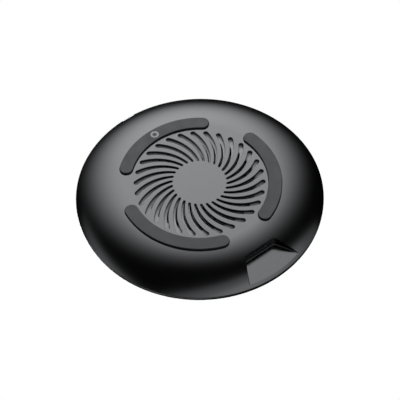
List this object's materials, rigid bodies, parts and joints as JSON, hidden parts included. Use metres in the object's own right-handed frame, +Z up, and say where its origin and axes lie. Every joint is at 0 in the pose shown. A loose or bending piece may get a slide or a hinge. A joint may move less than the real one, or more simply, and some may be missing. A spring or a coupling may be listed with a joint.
{
  "type": "wireless charging pad",
  "caption": "Round fan-cooled wireless charging pad with a flat charging face, a curved underside, a swirl air inlet, arc feet and a cable bay at the rear.",
  "frame": {"origin": "middle of the plane the feet stand on", "axes": "+Z up, out of the charging face; +Y to the rear, where the cable port is; -Y to the front, where the status light is"},
  "size_m": [0.1, 0.1, 0.0124],
  "materials": {
    "shell_black": "satin black moulded ABS",
    "frame_black": "fine satin black moulded ABS",
    "fan_grey": "dark grey moulded PBT",
    "panel_black": "fine matt top panel",
    "foot_rubber": "dark grey silicone rubber",
    "grip_rubber": "black silicone rubber",
    "adhesive": "double-sided tape",
    "light_pipe": "frosted clear polycarbonate",
    "screw_steel": "black-zinc steel",
    "ferrite": "soft ferrite sheet",
    "litz_copper": "enamelled litz wire",
    "lead_sleeve": "silicone lead insulation",
    "sensor_glass": "glass bead",
    "board_green": "solder mask over glass epoxy",
    "port_steel": "drawn stainless steel",
    "port_plastic": "high-temperature nylon",
    "contact_gold": "gold-plated contacts",
    "lamp_white": "white LED package",
    "connector_nylon": "natural nylon",
    "chip_epoxy": "moulded epoxy",
    "capacitor_ceramic": "ceramic chip",
    "crystal_can": "plated can",
    "impeller_black": "black PBT",
    "magnet_grey": "bonded ferrite magnet",
    "motor_steel": "silicon steel",
    "winding_copper": "enamelled copper",
    "bearing_bronze": "sintered bronze"
  },
  "bodies": {
    "pad": {"lower_shell": "shell_black", "foot_front": "foot_rubber", "foot_right": "foot_rubber", "foot_left": "foot_rubber", "foot_tapes": "adhesive", "housing_screws": "screw_steel", "upper_frame": "frame_black", "light_guide": "light_pipe", "top_panel": "panel_black", "panel_tape": "adhesive", "grip_ring": "grip_rubber", "ferrite_sheet": "ferrite", "coil_tape": "adhesive", "charging_coil": "litz_copper", "coil_leads": "litz_copper", "thermistor": "sensor_glass", "thermistor_leads": "lead_sleeve", "main_board": "board_green", "board_screws": "screw_steel", "port_shell": "port_steel", "port_tongue": "port_plastic", "port_contacts": "contact_gold", "status_lamps": "lamp_white", "fan_socket": "connector_nylon", "fan_plug": "connector_nylon", "controller_chip": "chip_epoxy", "driver_chips": "chip_epoxy", "resonant_capacitors": "capacitor_ceramic", "filter_inductor": "ferrite", "ceramic_capacitors": "capacitor_ceramic", "chip_resistors": "chip_epoxy", "crystal": "crystal_can", "fan_frame": "fan_grey", "fan_bearing": "bearing_bronze", "fan_stator": "motor_steel", "fan_windings": "winding_copper", "fan_board": "board_green", "fan_screws": "screw_steel", "fan_leads": "lead_sleeve"},
    "fan_rotor": {"fan_impeller": "impeller_black", "fan_yoke": "motor_steel", "fan_magnet": "magnet_grey", "fan_shaft": "motor_steel", "fan_clip": "port_plastic"}
  },
  "joints": [
    {"name": "fan_spin", "type": "hinge", "parent": "pad", "child": "fan_rotor", "pos_m": [0, 0, 0.0045], "axis": [0, 0, 1], "continuous": true}
  ]
}
